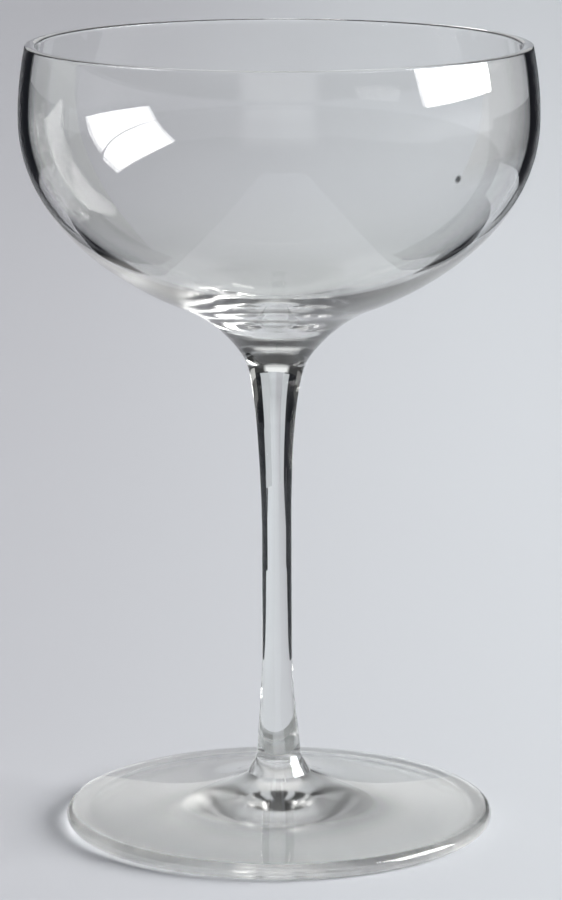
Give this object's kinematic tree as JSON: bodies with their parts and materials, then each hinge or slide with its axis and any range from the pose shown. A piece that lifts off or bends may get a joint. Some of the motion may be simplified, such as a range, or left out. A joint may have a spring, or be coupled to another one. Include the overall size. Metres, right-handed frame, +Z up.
{
  "type": "sherbet glass",
  "caption": "Clear stemmed coupe glass: wide shallow bowl with a drawn-in lip, slender waisted stem and a spread disc foot with a conical hub.",
  "frame": {"origin": "centre of the foot's resting ring, on the surface that the glass stands on", "axes": "+Z up along the axis of the bowl, stem and foot; X and Y are alike, because the glass is turned"},
  "size_m": [0.095, 0.095, 0.1459],
  "materials": {
    "bowl_glass": "clear, fire-polished, thin wall",
    "stem_glass": "clear, fire-polished, solid rod",
    "foot_glass": "clear, fire-polished, with a faint grey-green cast in the thick edge"
  },
  "bodies": {
    "root": {"bowl": "bowl_glass", "stem": "stem_glass", "foot": "foot_glass"}
  },
  "joints": []
}
